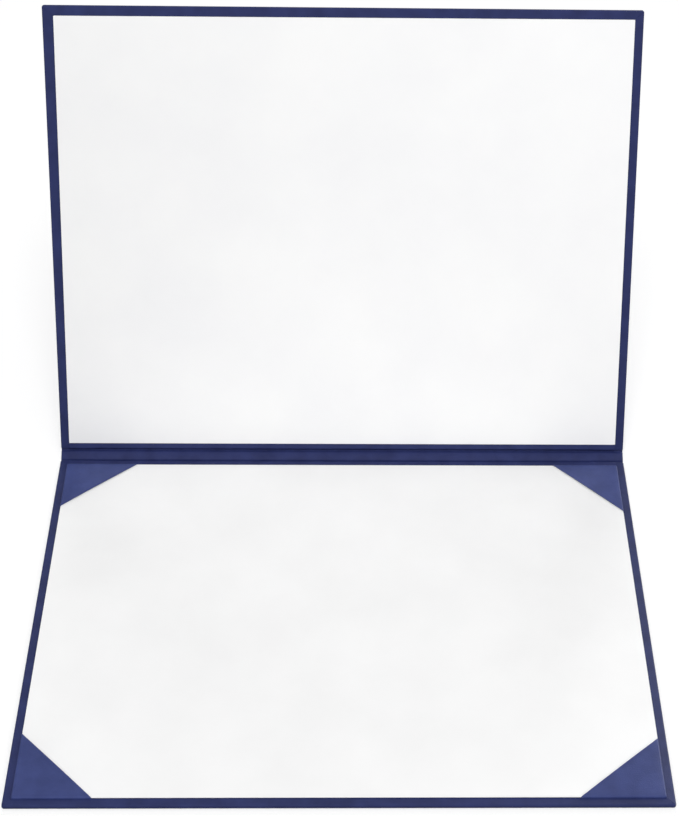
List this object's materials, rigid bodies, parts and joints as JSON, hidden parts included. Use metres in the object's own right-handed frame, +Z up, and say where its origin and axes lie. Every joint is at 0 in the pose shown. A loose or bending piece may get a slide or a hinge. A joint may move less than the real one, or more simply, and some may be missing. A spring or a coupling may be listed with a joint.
{
  "type": "diploma cover",
  "caption": "Hinged leatherette cover that stands open to show a sheet in corner pockets on its lower board, under a white liner in its upper board.",
  "frame": {"origin": "middle of the lower cover's underside, where it rests on a table", "axes": "+X along the hinge to the right, +Y from the front edge towards the hinge, +Z up"},
  "size_m": [0.2922, 0.3154, 0.2175],
  "materials": {
    "navy_leatherette": "satin",
    "grey_board": "matte",
    "white_card": "matte",
    "white_liner": "matte"
  },
  "bodies": {
    "lower_cover": {"lower_cover_cloth": "navy_leatherette", "lower_board": "grey_board", "lower_hinge_strip": "navy_leatherette", "insert_card": "white_card", "pocket_front_left": "navy_leatherette", "pocket_front_right": "navy_leatherette", "pocket_back_left": "navy_leatherette", "pocket_back_right": "navy_leatherette"},
    "spine": {"spine_cloth": "navy_leatherette", "spine_inlay": "grey_board", "spine_lining": "navy_leatherette"},
    "upper_cover": {"upper_cover_cloth": "navy_leatherette", "upper_board": "grey_board", "upper_hinge_strip": "navy_leatherette", "upper_liner": "white_liner"}
  },
  "joints": [
    {"name": "lower_crease", "type": "hinge", "parent": "lower_cover", "child": "spine", "pos_m": [0, 0.11424, 0.00013], "axis": [1, 0, 0], "range_deg": [-34.5, 55.5]},
    {"name": "upper_crease", "type": "hinge", "parent": "spine", "child": "upper_cover", "pos_m": [0, 0.11943, 0.00369], "axis": [1, 0, 0], "range_deg": [-34.5, 55.5]}
  ]
}
